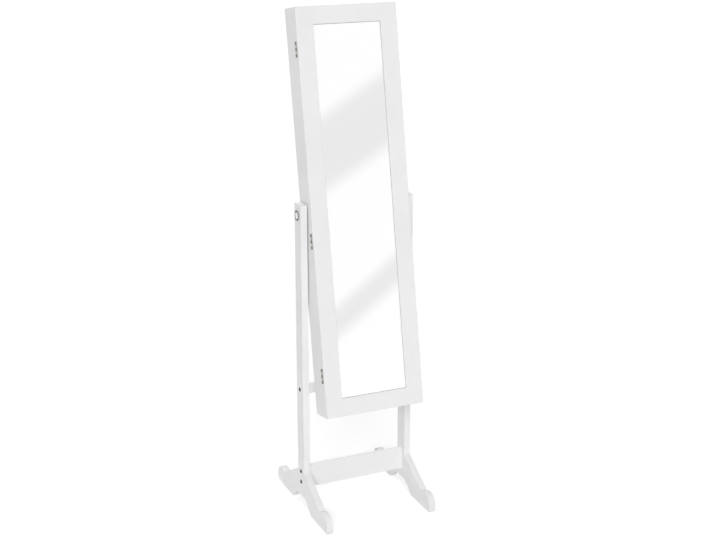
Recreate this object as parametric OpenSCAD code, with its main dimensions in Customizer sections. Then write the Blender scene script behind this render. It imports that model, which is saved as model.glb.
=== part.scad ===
// Standing jewellery cabinet behind a full-length mirror door, hung between two posts on shaped feet.
// Millimetres. X to the right, the mirror faces -Y, Z up, the origin on the floor under the middle.

/* [Cabinet] */
// Width of the cabinet and of its door
cabinet_w = 300; // [270:5:360]
// Height of the cabinet and of its door, along the slope
cabinet_h = 1140; // [1080:10:1200]
// Depth of the box behind the door
box_d = 67; // [62:1:80]
// Thickness of the box boards
board_t = 12; // [11:0.5:15]
// Thickness of the back panel
back_t = 4; // [3:0.5:6]
// Lean of the cabinet from upright, top to the rear
lean = 10.5; // [8:0.5:12.5]

/* [Door] */
// Thickness of the door frame
door_t = 12; // [11:0.5:15]
// Gap between the closed door and the box
seam = 1; // [0.8:0.1:1.6]
// Width of the two stiles
stile_w = 50; // [42:1:60]
// Width of the top rail
rail_top_w = 50; // [42:1:60]
// Width of the bottom rail
rail_low_w = 52; // [42:1:60]
// Thickness of the lip in front of the glass
lip_t = 5; // [4:0.5:6]
// How far the lip laps over the glass
lip_w = 8; // [6:0.5:12]
// Thickness of the mirror glass
glass_t = 3; // [2:0.5:4]
// Play round the edge of the glass
glass_play = 0.5; // [0.3:0.1:1]

/* [Backing clips] */
// Length of a clip, across the joint that it bridges
clip_l = 18; // [16:1:22]
// Height of a clip along the door
clip_h = 12; // [10:1:16]
// Thickness of a clip
clip_t = 1.2; // [1:0.1:1.5]
// Number of clips down each long side
clips_side = 3; // [2:1:4]

/* [Hinges] */
// Height of a hinge
hinge_h = 42; // [38:1:50]
// Middle of the upper hinge, down from the top of the cabinet
hinge_top_in = 114; // [80:1:160]
// Middle of the centre hinge, below the middle of the cabinet
hinge_mid_down = 68; // [60:1:100]
// Middle of the lower hinge, up from the bottom of the cabinet
hinge_low_in = 122; // [80:1:160]
// Radius of the hinge pins
pin_r = 1.3; // [1:0.1:1.5]
// Radius of the hinge barrels
barrel_r = 2.6; // [2.4:0.1:3]
// How far the pins stand outside the cabinet's side
pin_out = 1; // [0.8:0.1:1.6]
// Thickness of a hinge leaf
leaf_t = 1.2; // [1:0.1:1.5]
// Width of a hinge leaf from the pin
leaf_w = 12; // [10:0.5:12]
// Number of knuckles in a barrel
knuckles = 5; // [3:2:7]
// Radius of the leaf screws
leaf_screw_r = 1.2; // [1:0.1:1.4]
// Length of the leaf screws
leaf_screw_l = 9; // [7:0.5:10]

/* [Posts] */
// Thickness of posts and feet, left to right
post_t = 19.5; // [15:0.5:22]
// Depth of the posts, front to back
post_d = 48; // [46:1:60]
// Gap between a post and the cabinet's side
side_gap = 3; // [2:0.5:5]
// Height of the pivots above the floor
pivot_h = 893; // [860:1:920]
// How far the pivots are above the cabinet's middle
pivot_up = 5; // [0:1:12]
// How far the posts rise above the pivots
post_rise = 32; // [26:1:36]

/* [Feet] */
// Length of a foot, front to back
foot_l = 394; // [370:2:430]
// Height of a foot where the post stands on it
neck_h = 118; // [112:1:126]
// Height of the square shoulder under the post
shoulder_h = 3.5; // [2:0.5:6]
// Radius of the rounded toe
toe_r = 34; // [30:1:36]
// Height of the toe's centre
toe_lift = 19.5; // [16:0.5:22]
// Where the slope meets the toe, back from the toe's centre
notch_in = 25; // [22:0.5:27]
// Height at the low end of the slope
slope_end_h = 48.5; // [46:0.5:52]
// Length of the arch under a foot, along the floor
arch_l = 150; // [130:2:170]
// Height of the arch
arch_h = 34; // [26:1:38]
// Radius in the top corners of the arch
arch_r = 22; // [16:1:24]
// Slope of the arch's ends from the floor
arch_slope = 40; // [36:1:48]

/* [Cross members] */
// Underside of the front stretcher above the floor
stretcher_low = 62; // [56:1:70]
// Height of the stretcher board
stretcher_h = 68; // [60:1:80]
// Thickness of the stretcher and of the rear cross rail
member_t = 17; // [15:0.5:20]
// Underside of the rear cross rail above the floor
cross_low = 360; // [340:2:380]
// Height of the rear cross rail
cross_h = 26; // [22:1:32]

/* [Pivots] */
// Outer radius of the pivot bush
bush_r = 6; // [5.5:0.25:7]
// Running gap round a bush or a stud
run_gap = 0.05; // [0.03:0.01:0.08]
// Radius of the bush's flange
flange_r = 10; // [9:0.5:12]
// Thickness of the bush's flange
flange_t = 2; // [1.5:0.5:3]
// Radius of the friction washers
washer_r = 15; // [12:0.5:18]
// Radius of a pivot knob
knob_r = 15; // [13:0.5:17]
// How far a knob stands out from its post
knob_out = 6; // [5:0.5:10]
// Radius of a knob's stud
stud_r = 3; // [2.5:0.25:4]
// Thin gap kept between flat faces that turn on each other
face_gap = 0.1; // [0.05:0.05:0.3]
// Number of grip notches round a knob
grips = 24; // [12:2:30]

/* [Fasteners] */
// Radius of the frame bolts
bolt_r = 3; // [2.5:0.5:4]
// Radius of a bolt head
bolt_head_r = 6; // [5.5:0.5:7]
// Height of a bolt head
bolt_head_h = 2.4; // [2:0.2:3.5]
// Distance between the two bolts at each end of the stretcher
bolt_pitch = 34; // [28:1:40]
// Clearance round the bolts in their holes
bolt_clear = 0.3; // [0.2:0.05:0.5]
// Radius of the barrel nuts
nut_r = 5; // [4.5:0.5:6]
// How far a barrel nut sits in from the end of its member
nut_in = 24; // [18:1:32]
// Radius of the dowels between posts and feet
dowel_r = 4; // [3:0.5:5]
// Length of a dowel
dowel_l = 36; // [28:2:44]

/* [Inside] */
// Thickness of the velvet boards at the back
lining_t = 3; // [2:0.5:4]
// Thickness of the velvet on the sides
side_lining_t = 1.5; // [1:0.5:2]
// Thickness of the shelves
shelf_t = 8; // [6:0.5:10]
// Distance from a shelf's front edge to the back of the closed door
shelf_set_in = 5; // [4:0.5:10]
// Height of the lip at the front of a shelf
lip_rise = 14; // [10:1:20]
// Thickness of that lip
lip_thick = 5; // [4:0.5:7]
// Height of the compartment at the top
top_room = 88; // [80:1:100]
// Height of the compartment at the bottom
low_room = 105; // [90:1:120]
// Height of the compartment above it
mid_room = 107; // [90:1:120]

/* [Ring tray] */
// Gap between the upper shelf and the tray
tray_gap = 12; // [6:1:20]
// Wall of the tray
tray_wall = 5; // [4:0.5:7]
// Depth of the tray, front to back
tray_d = 26; // [22:1:30]
// Number of ring rolls
rolls = 7; // [5:1:8]
// Radius of a ring roll
roll_r = 11.8; // [10:0.2:12]
// Gap between two rolls
roll_gap = 0.6; // [0.4:0.1:1.2]

/* [Earring bars] */
// Number of earring bars
bars = 3; // [2:1:3]
// Distance between bars
bar_pitch = 42; // [36:1:44]
// Distance from the tray to the first bar
bar_gap = 30; // [24:1:34]
// Thickness of a bar
bar_t = 8; // [6:0.5:10]
// Depth of a bar, front to back
bar_d = 24; // [20:1:28]
// Number of slots in a bar
slots = 14; // [8:1:16]
// Width of a slot
slot_w = 2; // [1.5:0.5:3]

/* [Necklace hooks] */
// Number of hooks
hooks = 9; // [6:1:10]
// Radius of the hook wire
hook_r = 1.2; // [1:0.1:1.5]
// Reach of a hook from its rail
hook_reach = 13; // [10:1:16]
// Height of the rail that holds the hooks
hook_rail_h = 16; // [12:1:20]
// Thickness of that rail
hook_rail_t = 10; // [8:1:12]
// Distance from the lowest bar to the hook rail
hook_rail_gap = 40; // [30:1:46]

/* [Bracelet rod] */
// Radius of the rod
rod_r = 6; // [5:0.5:8]
// Radius of its end sockets
socket_r = 9; // [8.5:0.5:12]
// Length of an end socket
socket_l = 8; // [6:0.5:10]
// Height of the rod above the shelf below it
rod_up = 65; // [50:1:80]

/* [Catch] */
// Height of the magnet
magnet_h = 44; // [36:1:50]
// Width of the magnet
magnet_w = 12; // [10:0.5:14]
// Depth of the magnet
magnet_d = 11; // [9:0.5:14]
// Thickness of the steel plate on the door
plate_t = 1.2; // [1:0.1:1.5]

/* [Hidden] */
$fn = 48;

// Places that several pieces share
half_w = cabinet_w / 2;
half_h = cabinet_h / 2;
box_y = door_t + seam;
rear_y = box_y + box_d;
pivot_y = box_y + box_d / 2 + 1.5;
inner_w = cabinet_w - 2 * board_t;
inner_h = cabinet_h - 2 * board_t;
clear_w = inner_w - 2 * side_lining_t;
lining_y = rear_y - back_t - lining_t;
post_in = half_w + side_gap;
post_out = post_in + post_t;
post_top = pivot_h + post_rise;
toe_y = foot_l / 2 - toe_r;
opening_w = cabinet_w - 2 * stile_w;
bore_r = bush_r + run_gap;
stretcher_mid = stretcher_low + stretcher_h / 2;
cross_mid = cross_low + cross_h / 2;
bolt_l = post_t + nut_in + nut_r + 4;
pin_x = -half_w - pin_out;
pin_y = door_t + seam / 2;
leaf_sink = leaf_t - seam / 2 + face_gap / 2;
notch_r = barrel_r + 0.4;
knuckle_h = hinge_h / knuckles;
hinge_z = [half_h - hinge_top_in, -hinge_mid_down, hinge_low_in - half_h];
shelf_y = box_y + shelf_set_in - 1;
shelf_d = lining_y - shelf_y;
shelf_tops = [
    inner_h / 2 - top_room,
    low_room + mid_room + 2 * shelf_t - inner_h / 2,
    low_room + shelf_t - inner_h / 2
];
roll_pitch = 2 * roll_r + roll_gap;
tray_h = rolls * roll_pitch + 2 * tray_wall;
tray_top = shelf_tops[0] - shelf_t - tray_gap;
bar_z = tray_top - tray_h - bar_gap;
hook_rail_top = bar_z - (bars - 1) * bar_pitch - hook_rail_gap;
rod_z = shelf_tops[1] + rod_up;
rod_y = lining_y - socket_r - 10;
clip_y = door_t;
white = "#f2f2f0";
velvet = "#26242a";
steel = "#b9bcc0";
brass = "#7a6a4c";

// Carries a piece from the cabinet's own frame to its place, leaning back about the pivots
module leaning() {
    translate([0, 0, pivot_h]) rotate([-lean, 0, 0]) translate([0, -pivot_y, -pivot_up]) children();
}

module both_sides() {
    children();
    mirror([1, 0, 0]) children();
}

module block(from, to) {
    translate(from) cube(to - from);
}

module rod_x(r, x0, x1) {
    translate([x0, 0, 0]) rotate([0, 90, 0]) cylinder(r = r, h = x1 - x0);
}

module rod_y(r, y0, y1) {
    translate([0, y0, 0]) rotate([-90, 0, 0]) cylinder(r = r, h = y1 - y0);
}

// Posts and feet

module arch_outline() {
    corner_y = arch_l / 2 - (arch_r + cos(arch_slope) * (arch_h - arch_r)) / sin(arch_slope);
    corner_z = arch_h - arch_r;
    foot_y = arch_l / 2 + 1 / tan(arch_slope);
    side_y = corner_y + arch_r * sin(arch_slope);
    side_z = corner_z + arch_r * cos(arch_slope);
    polygon([
        [-foot_y, -1], [foot_y, -1], [side_y, side_z], [corner_y, corner_z], [corner_y, arch_h],
        [-corner_y, arch_h], [-corner_y, corner_z], [-side_y, side_z]
    ]);
    for (s = [-1, 1]) translate([s * corner_y, corner_z]) circle(r = arch_r, $fn = 96);
}

module foot_outline() {
    slope_y = toe_y - notch_in;
    difference() {
        union() {
            polygon([
                [-post_d / 2, neck_h], [-post_d / 2, neck_h - shoulder_h],
                [-slope_y, slope_end_h], [-slope_y, 0], [slope_y, 0], [slope_y, slope_end_h],
                [post_d / 2, neck_h - shoulder_h], [post_d / 2, neck_h]
            ]);
            for (s = [-1, 1]) translate([s * toe_y, toe_lift]) circle(r = toe_r, $fn = 96);
        }
        translate([-foot_l, -2 * toe_r]) square([2 * foot_l, 2 * toe_r]);
        arch_outline();
    }
}

// A foot on the right side, with holes for its dowels and for the stretcher's bolts
module foot() {
    difference() {
        translate([post_in, 0, 0]) rotate([90, 0, 90]) linear_extrude(post_t) foot_outline();
        stretcher_bolt_holes();
        dowel_holes();
    }
}

module post() {
    difference() {
        block([post_in, -post_d / 2, neck_h], [post_out, post_d / 2, post_top]);
        translate([0, 0, pivot_h]) rod_x(bore_r, post_in - 1, post_out + 1);
        translate([0, 0, cross_mid]) rod_x(bolt_r + bolt_clear, post_in - 1, post_out + 1);
        dowel_holes();
    }
}

module dowels(r, play) {
    for (s = [-1, 1]) {
        translate([post_in + post_t / 2, s * post_d / 4 * 1.1, neck_h - dowel_l / 2 - play])
            cylinder(r = r, h = dowel_l + 2 * play);
    }
}

module dowel_holes() {
    dowels(dowel_r + run_gap, 1);
}

module stretcher_bolt_holes() {
    for (s = [-1, 1]) translate([0, 0, stretcher_mid + s * bolt_pitch / 2])
        rod_x(bolt_r + bolt_clear, post_in - 1, post_out + 1);
}

module post_left() {
    color(white) mirror([1, 0, 0]) post();
}

module post_right() {
    color(white) post();
}

module foot_left() {
    color(white) mirror([1, 0, 0]) foot();
}

module foot_right() {
    color(white) foot();
}

module post_dowels() {
    color("#c9a876") both_sides() dowels(dowel_r, 0);
}

// Cross members and their fasteners

module member_hole(z) {
    translate([0, 0, z]) {
        rod_x(bolt_r + bolt_clear, post_out - bolt_l - 2, post_in + 1);
        translate([post_in - nut_in, 0, 0]) rod_y(nut_r + run_gap, -nut_r - 0.5, member_t / 2 + 1);
    }
}

module member(low, high, bolt_heights) {
    difference() {
        block([-post_in, -member_t / 2, low], [post_in, member_t / 2, high]);
        both_sides() for (z = bolt_heights) member_hole(z);
    }
}

stretcher_bolts = [stretcher_mid - bolt_pitch / 2, stretcher_mid + bolt_pitch / 2];
all_bolts = concat(stretcher_bolts, [cross_mid]);

module stretcher() {
    color(white) member(stretcher_low, stretcher_low + stretcher_h, stretcher_bolts);
}

module cross_rail() {
    color(white) member(cross_low, cross_low + cross_h, [cross_mid]);
}

// A button-head bolt driven in from the outside of the right post, with a hexagon socket
module frame_bolt() {
    rim_h = bolt_head_h / 2;
    difference() {
        union() {
            rod_x(bolt_r, post_out - bolt_l, post_out + 0.1);
            rod_x(bolt_head_r, post_out, post_out + rim_h);
            translate([post_out + rim_h, 0, 0]) rotate([0, 90, 0])
                cylinder(r1 = bolt_head_r, r2 = bolt_head_r * 0.68, h = bolt_head_h - rim_h);
        }
        translate([post_out + bolt_head_h - 1.8, 0, 0]) rotate([0, 90, 0])
            cylinder(r = bolt_r * 0.75, h = 3, $fn = 6);
    }
}

module frame_bolts() {
    color("#3a3a3c") both_sides() for (z = all_bolts) translate([0, 0, z]) frame_bolt();
}

module barrel_nuts() {
    color(steel) both_sides() for (z = all_bolts) translate([post_in - nut_in, 0, z]) difference() {
        rod_y(nut_r, -nut_r, member_t / 2 - 0.5);
        rod_x(bolt_r, -nut_r - 1, nut_r + 1);
        translate([0, member_t / 2 - 1.5, 0]) cube([nut_r * 1.4, 2.2, 1.2], center = true);
    }
}

// Pivots

module pivot_bushes() {
    flange_x = half_w - board_t;
    color(steel) both_sides() translate([0, 0, pivot_h]) difference() {
        union() {
            rod_x(bush_r, flange_x, post_out - face_gap);
            rod_x(flange_r, flange_x, flange_x + flange_t);
        }
        rod_x(stud_r + run_gap, flange_x - 1, post_out + 1);
    }
}

module friction_washers() {
    color("#4a4a4c") both_sides() translate([0, 0, pivot_h]) difference() {
        rod_x(washer_r, half_w + face_gap, post_in);
        rod_x(bore_r + 0.25, half_w - 1, post_in + 1);
    }
}

// A low round knob with a dished face, a button in its middle and notches round its rim
module pivot_knob() {
    rim = knob_out * 0.55;
    translate([post_out + face_gap, 0, pivot_h]) rotate([0, 90, 0]) {
        difference() {
            rotate_extrude($fn = 72) polygon([
                [0, 0], [knob_r, 0], [knob_r, rim - 0.8], [knob_r - 0.8, rim], [knob_r - 2.2, rim],
                [knob_r - 5, knob_out - 1], [knob_r * 0.42, knob_out - 1.6],
                [knob_r * 0.36, knob_out - 0.5], [knob_r * 0.2, knob_out - face_gap],
                [0, knob_out - face_gap]
            ]);
            for (i = [0 : grips - 1]) rotate([0, 0, i * 360 / grips])
                translate([knob_r + 0.5, 0, -1]) cylinder(r = 1, h = knob_out + 2, $fn = 16);
        }
        translate([0, 0, -(post_t + side_gap + board_t * 0.5)])
            cylinder(r = stud_r, h = post_t + side_gap + board_t * 0.5 + 0.1);
    }
}

module knob_left() {
    color(steel) mirror([1, 0, 0]) pivot_knob();
}

module knob_right() {
    color(steel) pivot_knob();
}

// Places and screws of the hinges

module at_hinges() {
    for (z = hinge_z) translate([0, 0, z]) children();
}

// Turns a piece of the box's side of the seam into one of the door's side
module mirror_in_seam() {
    translate([0, 2 * pin_y, 0]) mirror([0, 1, 0]) children();
}

// The three countersunk screws of a box leaf, with their tips longer by the given amount
module leaf_screws(longer) {
    for (s = [-1, 0, 1])
        translate([pin_x + leaf_w * 0.62, pin_y + face_gap / 2, s * hinge_h * 0.34]) {
            rod_y(leaf_screw_r, 0, leaf_screw_l + longer);
            rotate([-90, 0, 0]) cylinder(r1 = leaf_screw_r * 2, r2 = leaf_screw_r, h = leaf_t);
        }
}

module hinge_pocket(y0, y1) {
    at_hinges() {
        block([pin_x, y0, -hinge_h / 2], [pin_x + leaf_w, y1, hinge_h / 2]);
        translate([pin_x, pin_y, -hinge_h / 2 - 0.3]) cylinder(r = notch_r, h = hinge_h + 0.6);
    }
}

// The box

module side_board() {
    difference() {
        block([half_w - board_t, box_y, -half_h], [half_w, rear_y, half_h]);
        translate([0, pivot_y, pivot_up]) {
            rod_x(bush_r, half_w - board_t - 1, half_w + 1);
            rod_x(flange_r, half_w - board_t - 1, half_w - board_t + flange_t);
        }
    }
}

module side_left() {
    color(white) leaning() difference() {
        mirror([1, 0, 0]) side_board();
        hinge_pocket(box_y - 1, box_y + leaf_sink);
        at_hinges() leaf_screws(0.5);
    }
}

module side_right() {
    color(white) leaning() side_board();
}

module end_board(z) {
    block([-inner_w / 2, box_y, z], [inner_w / 2, rear_y, z + board_t]);
}

module cabinet_top() {
    color(white) leaning() end_board(half_h - board_t);
}

module cabinet_bottom() {
    color(white) leaning() end_board(-half_h);
}

module back_panel() {
    color(white) leaning() block([-inner_w / 2, rear_y - back_t, -inner_h / 2], [inner_w / 2, rear_y, inner_h / 2]);
}

module lining_back() {
    color(velvet) leaning() block([-inner_w / 2, lining_y, -inner_h / 2], [inner_w / 2, lining_y + lining_t, inner_h / 2]);
}

module lining_sides() {
    color(velvet) leaning() both_sides()
        block([clear_w / 2, shelf_y, -inner_h / 2], [inner_w / 2, lining_y, inner_h / 2]);
}

module shelves() {
    color(velvet) leaning() for (z = shelf_tops)
        block([-clear_w / 2, shelf_y, z - shelf_t], [clear_w / 2, lining_y, z]);
}

module shelf_lips() {
    floors = concat(shelf_tops, [-inner_h / 2]);
    color(white) leaning() for (z = floors)
        block([-clear_w / 2, shelf_y, z], [clear_w / 2, shelf_y + lip_thick, z + lip_rise]);
}

// Fittings inside the box

module ring_tray() {
    color(velvet) leaning() difference() {
        block([-clear_w / 2, lining_y - tray_d, tray_top - tray_h], [clear_w / 2, lining_y, tray_top]);
        block(
            [tray_wall - clear_w / 2, lining_y - tray_d - 1, tray_top - tray_h + tray_wall],
            [clear_w / 2 - tray_wall, lining_y - 1.5, tray_top - tray_wall]
        );
    }
}

module ring_rolls() {
    roll_half = clear_w / 2 - tray_wall - 0.5;
    color(velvet) leaning() for (i = [0 : rolls - 1])
        translate([0, lining_y - 1.8 - roll_r, tray_top - tray_wall - (i + 0.5) * roll_pitch])
            rod_x(roll_r, -roll_half, roll_half);
}

module earring_bars() {
    slot_pitch = clear_w / (slots + 1);
    color(velvet) leaning() for (i = [0 : bars - 1]) difference() {
        block(
            [-clear_w / 2, lining_y - bar_d, bar_z - i * bar_pitch - bar_t],
            [clear_w / 2, lining_y, bar_z - i * bar_pitch]
        );
        for (k = [1 : slots]) {
            x = k * slot_pitch - clear_w / 2;
            block(
                [x - slot_w / 2, lining_y - bar_d - 1, bar_z - i * bar_pitch - bar_t - 1],
                [x + slot_w / 2, lining_y - bar_d / 2, bar_z - i * bar_pitch + 1]
            );
        }
    }
}

module hook_rail() {
    color(velvet) leaning() block(
        [-clear_w / 2, lining_y - hook_rail_t, hook_rail_top - hook_rail_h],
        [clear_w / 2, lining_y, hook_rail_top]
    );
}

module necklace_hook() {
    rise = 7;
    rod_y(3.2, -1.2, 0);
    rod_y(hook_r, -hook_reach, -1);
    translate([0, -hook_reach, 0]) sphere(r = hook_r, $fn = 24);
    translate([0, -hook_reach, 0]) cylinder(r = hook_r, h = rise, $fn = 24);
    translate([0, -hook_reach, rise]) sphere(r = hook_r * 1.6, $fn = 24);
}

module necklace_hooks() {
    hook_pitch = clear_w / (hooks + 0.5);
    color(steel) leaning() for (i = [0 : hooks - 1])
        translate([(i - (hooks - 1) / 2) * hook_pitch, lining_y - hook_rail_t, hook_rail_top - hook_rail_h / 2])
            necklace_hook();
}

module bracelet_rod() {
    color(velvet) leaning() translate([0, rod_y, rod_z])
        rod_x(rod_r, -clear_w / 2 + socket_l * 0.4, clear_w / 2 - socket_l * 0.4);
}

module rod_sockets() {
    color(steel) leaning() both_sides() translate([0, rod_y, rod_z]) difference() {
        rod_x(socket_r, clear_w / 2 - socket_l, clear_w / 2);
        rod_x(rod_r, clear_w / 2 - socket_l - 1, clear_w / 2 - socket_l * 0.4);
    }
}

module catch_magnet() {
    color("#d8d8d6") leaning() translate([0, door_t + plate_t + face_gap, 0])
        block([clear_w / 2 - magnet_w, 0, -magnet_h / 2], [clear_w / 2, magnet_d, magnet_h / 2]);
}

// The door

// Section of a frame member from its outer edge inwards, with the rebate for the glass behind its lip
module frame_section(w) {
    polygon([[0, 0], [w, 0], [w, lip_t], [w - lip_w, lip_t], [w - lip_w, door_t], [0, door_t]]);
}

// The left stile, the full height of the door
module stile() {
    translate([-half_w, 0, -half_h]) linear_extrude(cabinet_h) frame_section(stile_w);
}

// The bottom rail between the stiles. Its back laps behind their lips, so its own lip is cut shorter
module rail(w) {
    lap = opening_w / 2 + lip_w;
    difference() {
        translate([-lap, 0, -half_h]) rotate([90, 0, 90]) linear_extrude(2 * lap)
            mirror([1, -1]) frame_section(w);
        both_sides() block([opening_w / 2, -1, -half_h - 1], [lap + 1, lip_t, w - half_h + 1]);
    }
}

module stile_left() {
    color(white) leaning() difference() {
        stile();
        hinge_pocket(door_t - leaf_sink, door_t + 1);
        at_hinges() mirror_in_seam() leaf_screws(0.5);
        clip_screw_holes();
    }
}

module stile_right() {
    color(white) leaning() difference() {
        mirror([1, 0, 0]) stile();
        clip_screw_holes();
    }
}

module rail_top() {
    color(white) leaning() difference() {
        mirror([0, 0, 1]) rail(rail_top_w);
        clip_screw_holes();
    }
}

module rail_bottom() {
    color(white) leaning() difference() {
        rail(rail_low_w);
        clip_screw_holes();
    }
}

module pane(y0, y1) {
    edge_x = opening_w / 2 + lip_w - glass_play;
    top_z = half_h - rail_top_w + lip_w - glass_play;
    low_z = rail_low_w - half_h - lip_w + glass_play;
    block([-edge_x, y0, low_z], [edge_x, y1, top_z]);
}

module mirror_glass() {
    color("#dfe6e8") leaning() pane(lip_t, lip_t + glass_t);
}

module mirror_backing() {
    color("#e4e2dc") leaning() pane(lip_t + glass_t, door_t);
}

// Clips that hold the backing in, each turned about the middle of the joint that it bridges
joint_x = opening_w / 2 + lip_w;
joint_top = half_h - rail_top_w + lip_w;
joint_low = rail_low_w - half_h - lip_w;
clip_step = (joint_top - joint_low) / clips_side;
clip_places = concat(
    [for (s = [-1, 1]) for (i = [0 : clips_side - 1]) [s * joint_x, joint_low + (i + 0.5) * clip_step + 24, s < 0 ? 180 : 0]],
    [[0, joint_top, 90], [0, joint_low, 270]]
);

module at_clips() {
    for (c = clip_places) translate([c[0], clip_y, c[1]]) rotate([0, -c[2], 0]) children();
}

module backing_clips() {
    color(steel) leaning() at_clips() difference() {
        block([-clip_l / 3, 0, -clip_h / 2], [clip_l * 2 / 3, clip_t, clip_h / 2]);
        translate([clip_l * 0.35, 0, 0]) rod_y(1.5, -1, clip_t + 1);
    }
}

module clip_screw() {
    translate([clip_l * 0.35, 0, 0]) {
        rod_y(1.5, -5, clip_t + 0.1);
        rod_y(3, clip_t, clip_t + 1.2);
    }
}

module clip_screw_holes() {
    at_clips() translate([clip_l * 0.35, 0, 0]) rod_y(1.5, -5.5, 1);
}

module clip_screws() {
    color(steel) leaning() at_clips() clip_screw();
}

module catch_plate() {
    color(steel) leaning()
        block([clear_w / 2 - magnet_w - 2, door_t, -magnet_h / 2], [clear_w / 2, door_t + plate_t, magnet_h / 2]);
}

// Hinges: the box leaf has the odd knuckles, the door leaf the even ones

module knuckle_stack(first) {
    for (i = [first : 2 : knuckles - 1]) translate([0, 0, -hinge_h / 2 + i * knuckle_h + face_gap])
        cylinder(r = barrel_r, h = knuckle_h - 2 * face_gap, $fn = 32);
}

// One leaf at a hinge's middle. The leaf's flat lies from y0 to y1, and fingers join it to its knuckles
module hinge_leaf(first, y0, y1) {
    difference() {
        union() {
            block([pin_x + notch_r, y0, -hinge_h / 2], [pin_x + leaf_w, y1, hinge_h / 2]);
            for (i = [first : 2 : knuckles - 1]) {
                z = -hinge_h / 2 + i * knuckle_h + face_gap;
                block([pin_x, y0, z], [pin_x + leaf_w - 1, y1, z + knuckle_h - 2 * face_gap]);
            }
            translate([pin_x, pin_y, 0]) knuckle_stack(first);
        }
        translate([pin_x, pin_y, -hinge_h / 2 - 1])
            cylinder(r = pin_r + (first == 0 ? 0 : run_gap), h = hinge_h + 2, $fn = 32);
    }
}

module box_hinge_leaves() {
    color(brass) leaning() at_hinges() difference() {
        hinge_leaf(0, pin_y + face_gap / 2, pin_y + face_gap / 2 + leaf_t);
        leaf_screws(0);
    }
}

module door_hinge_leaves() {
    color(brass) leaning() at_hinges() difference() {
        hinge_leaf(1, pin_y - face_gap / 2 - leaf_t, pin_y - face_gap / 2);
        mirror_in_seam() leaf_screws(0);
    }
}

module hinge_pins() {
    color(brass) leaning() at_hinges() translate([pin_x, pin_y, -hinge_h / 2])
        cylinder(r = pin_r, h = hinge_h, $fn = 32);
}

module box_hinge_screws() {
    color(brass) leaning() at_hinges() leaf_screws(0);
}

module door_hinge_screws() {
    color(brass) leaning() at_hinges() mirror_in_seam() leaf_screws(0);
}

post_left();
post_right();
foot_left();
foot_right();
stretcher();
cross_rail();
frame_bolts();
barrel_nuts();
post_dowels();
friction_washers();
side_left();
side_right();
cabinet_top();
cabinet_bottom();
back_panel();
lining_back();
lining_sides();
shelves();
shelf_lips();
ring_tray();
ring_rolls();
earring_bars();
hook_rail();
necklace_hooks();
bracelet_rod();
rod_sockets();
box_hinge_leaves();
hinge_pins();
box_hinge_screws();
pivot_bushes();
catch_magnet();
stile_left();
stile_right();
rail_top();
rail_bottom();
mirror_glass();
mirror_backing();
backing_clips();
clip_screws();
door_hinge_leaves();
door_hinge_screws();
catch_plate();
knob_left();
knob_right();
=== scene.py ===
import math

import bmesh
import bpy
from mathutils import Matrix, Vector


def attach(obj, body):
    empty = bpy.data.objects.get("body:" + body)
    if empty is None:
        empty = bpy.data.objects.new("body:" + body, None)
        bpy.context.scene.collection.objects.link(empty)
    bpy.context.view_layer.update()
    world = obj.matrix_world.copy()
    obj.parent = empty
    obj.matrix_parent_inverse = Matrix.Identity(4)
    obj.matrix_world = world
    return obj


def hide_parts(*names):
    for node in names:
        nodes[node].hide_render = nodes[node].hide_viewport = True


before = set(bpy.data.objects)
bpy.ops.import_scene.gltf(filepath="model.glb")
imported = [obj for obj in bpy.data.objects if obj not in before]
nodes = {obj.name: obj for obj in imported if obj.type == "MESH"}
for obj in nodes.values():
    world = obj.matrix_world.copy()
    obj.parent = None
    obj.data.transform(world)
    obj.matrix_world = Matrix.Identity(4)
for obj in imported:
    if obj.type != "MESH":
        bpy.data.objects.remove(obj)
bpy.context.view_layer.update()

print("frame loaded:", len(nodes), "CAD nodes")

# Sizes below are in millimetres. The helpers turn them into metres.
mm = 0.001
xAxis, yAxis, zAxis = Vector((1, 0, 0)), Vector((0, 1, 0)), Vector((0, 0, 1))

# What the pieces share
cabinet = {"width": 300, "height": 1140, "board": 12, "lean": 10.5, "pivotDepth": 48, "pivotUp": 5,
           "pivotHeight": 893}
boxFront, boxRear = 13, 80
halfWidth, halfHeight = cabinet["width"] / 2, cabinet["height"] / 2
innerHalf, innerTop = halfWidth - cabinet["board"], halfHeight - cabinet["board"]
sideLining = 1.5
clearHalf = innerHalf - sideLining
liningFront, liningRear = 73, 76
shelfTops = [470, -330, -445]
postInside, postOutside = 153, 172.5
pivotHeight = cabinet["pivotHeight"]

# A cutter's reach past the wood, the overlap of joined pieces, and the gaps that are welded shut
overcut, overlap, weldGap, sliver = 2, 0.1, 0.01, 0.002

leaning = (Matrix.Translation((0, 0, pivotHeight * mm))
           @ Matrix.Rotation(math.radians(-cabinet["lean"]), 4, "X")
           @ Matrix.Translation((0, -cabinet["pivotDepth"] * mm, -cabinet["pivotUp"] * mm)))


# Selecting and editing

def deselectAll():
    if bpy.context.object and bpy.context.object.mode != "OBJECT":
        bpy.ops.object.mode_set(mode="OBJECT")
    bpy.ops.object.select_all(action="DESELECT")


def pick(*pieces):
    deselectAll()
    for piece in pieces:
        piece.select_set(True)
    bpy.context.view_layer.objects.active = pieces[0]


def applyPlace(piece):
    pick(piece)
    bpy.ops.object.transform_apply(location=True, rotation=True, scale=True)
    return piece


def applyModifier(piece, kind, **settings):
    pick(piece)
    modifier = piece.modifiers.new(kind.lower(), kind)
    for key, value in settings.items():
        setattr(modifier, key, value)
    bpy.ops.object.modifier_apply(modifier=modifier.name)
    return piece


def openEdit(piece, mode="FACE", choice="DESELECT"):
    pick(piece)
    bpy.ops.object.mode_set(mode="EDIT")
    bpy.ops.mesh.select_mode(type=mode)
    bpy.ops.mesh.select_all(action=choice)


def closeEdit():
    bpy.ops.object.mode_set(mode="OBJECT")


def editAll(piece, operation, **settings):
    openEdit(piece, choice="SELECT")
    operation(**settings)
    closeEdit()
    return piece


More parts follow.
